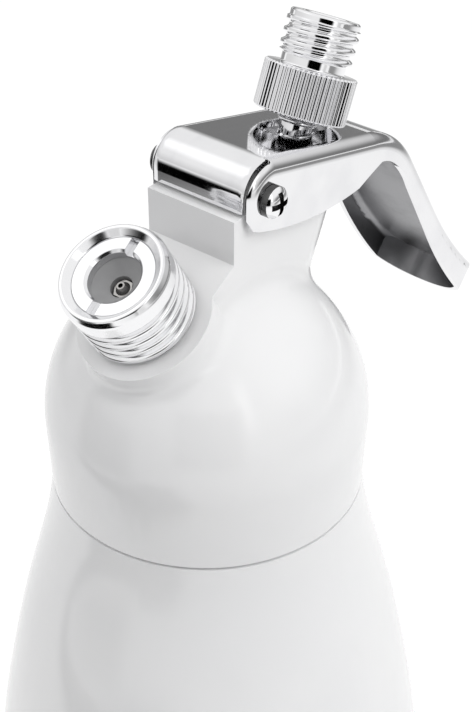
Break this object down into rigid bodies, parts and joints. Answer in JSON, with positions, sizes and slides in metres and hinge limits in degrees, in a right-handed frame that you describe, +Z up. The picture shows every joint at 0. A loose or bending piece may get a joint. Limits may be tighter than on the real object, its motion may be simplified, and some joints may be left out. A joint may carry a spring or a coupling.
{
  "type": "whipped cream dispenser",
  "caption": "Pressurised cream dispenser: tall aluminium bottle, screwed domed head with gas port, tilted valve with nozzle thread, and a press lever.",
  "frame": {"origin": "centre of the bottle's flat base, on the bottle's axis", "axes": "+Z up the bottle's axis, -Y towards the gas port, +Y towards the lever's handle, +X to the right seen from the port side"},
  "size_m": [0.0992, 0.1348, 0.3008],
  "materials": {
    "white_bottle_lacquer": "gloss",
    "white_head_lacquer": "gloss",
    "grey_silicone": "matte",
    "black_rubber": "matte",
    "chrome_plate": "mirror polished",
    "bright_steel": "fine turned",
    "polished_stem_steel": "polished",
    "dark_steel": "satin",
    "spring_steel": "drawn wire",
    "polished_lever_steel": "polished",
    "screw_steel": "polished",
    "white_nylon": "matte"
  },
  "bodies": {
    "bottle": {"bottle": "white_bottle_lacquer"},
    "gasket": {"head_gasket": "grey_silicone"},
    "head": {"head": "white_head_lacquer", "gas_port": "chrome_plate", "port_gasket": "black_rubber", "port_retaining_ring": "bright_steel", "charger_gasket": "grey_silicone", "piercing_pin": "dark_steel", "non_return_valve": "black_rubber", "valve_bush": "bright_steel", "stem_o_ring": "black_rubber", "valve_spring": "spring_steel", "hinge_sleeve": "bright_steel", "hinge_bushes": "white_nylon", "hinge_screws": "screw_steel"},
    "lever": {"lever": "polished_lever_steel"},
    "stem": {"valve_stem": "polished_stem_steel", "stem_seal": "black_rubber", "seal_washer": "bright_steel", "stem_nut": "bright_steel", "thrust_collar": "bright_steel", "nozzle_adapter": "chrome_plate"}
  },
  "joints": [
    {"name": "head_lift", "type": "slide", "parent": "bottle", "child": "gasket", "axis": [0, 0, 1], "range_m": [0, 0.007]},
    {"name": "head_turn", "type": "hinge", "parent": "gasket", "child": "head", "pos_m": [0, 0, 0.215], "axis": [0, 0, 1], "range_deg": [0, 720]},
    {"name": "lever_press", "type": "hinge", "parent": "head", "child": "lever", "pos_m": [0, 0.0032, 0.2777], "axis": [-1, 0, 0], "range_deg": [0, 12], "stiffness_Nm_per_rad": 0.68, "springref_deg": -6.88},
    {"name": "valve_slide", "type": "slide", "parent": "head", "child": "stem", "axis": [0, -0.4035, -0.915], "range_m": [0, 0.0039], "deforming": ["valve_spring"]}
  ],
  "couplings": [
    {"joint": "head_lift", "follows": "head_turn", "m_per_rad": 0.00055704},
    {"joint": "valve_slide", "follows": "lever_press", "m_per_rad": 0.01843}
  ]
}
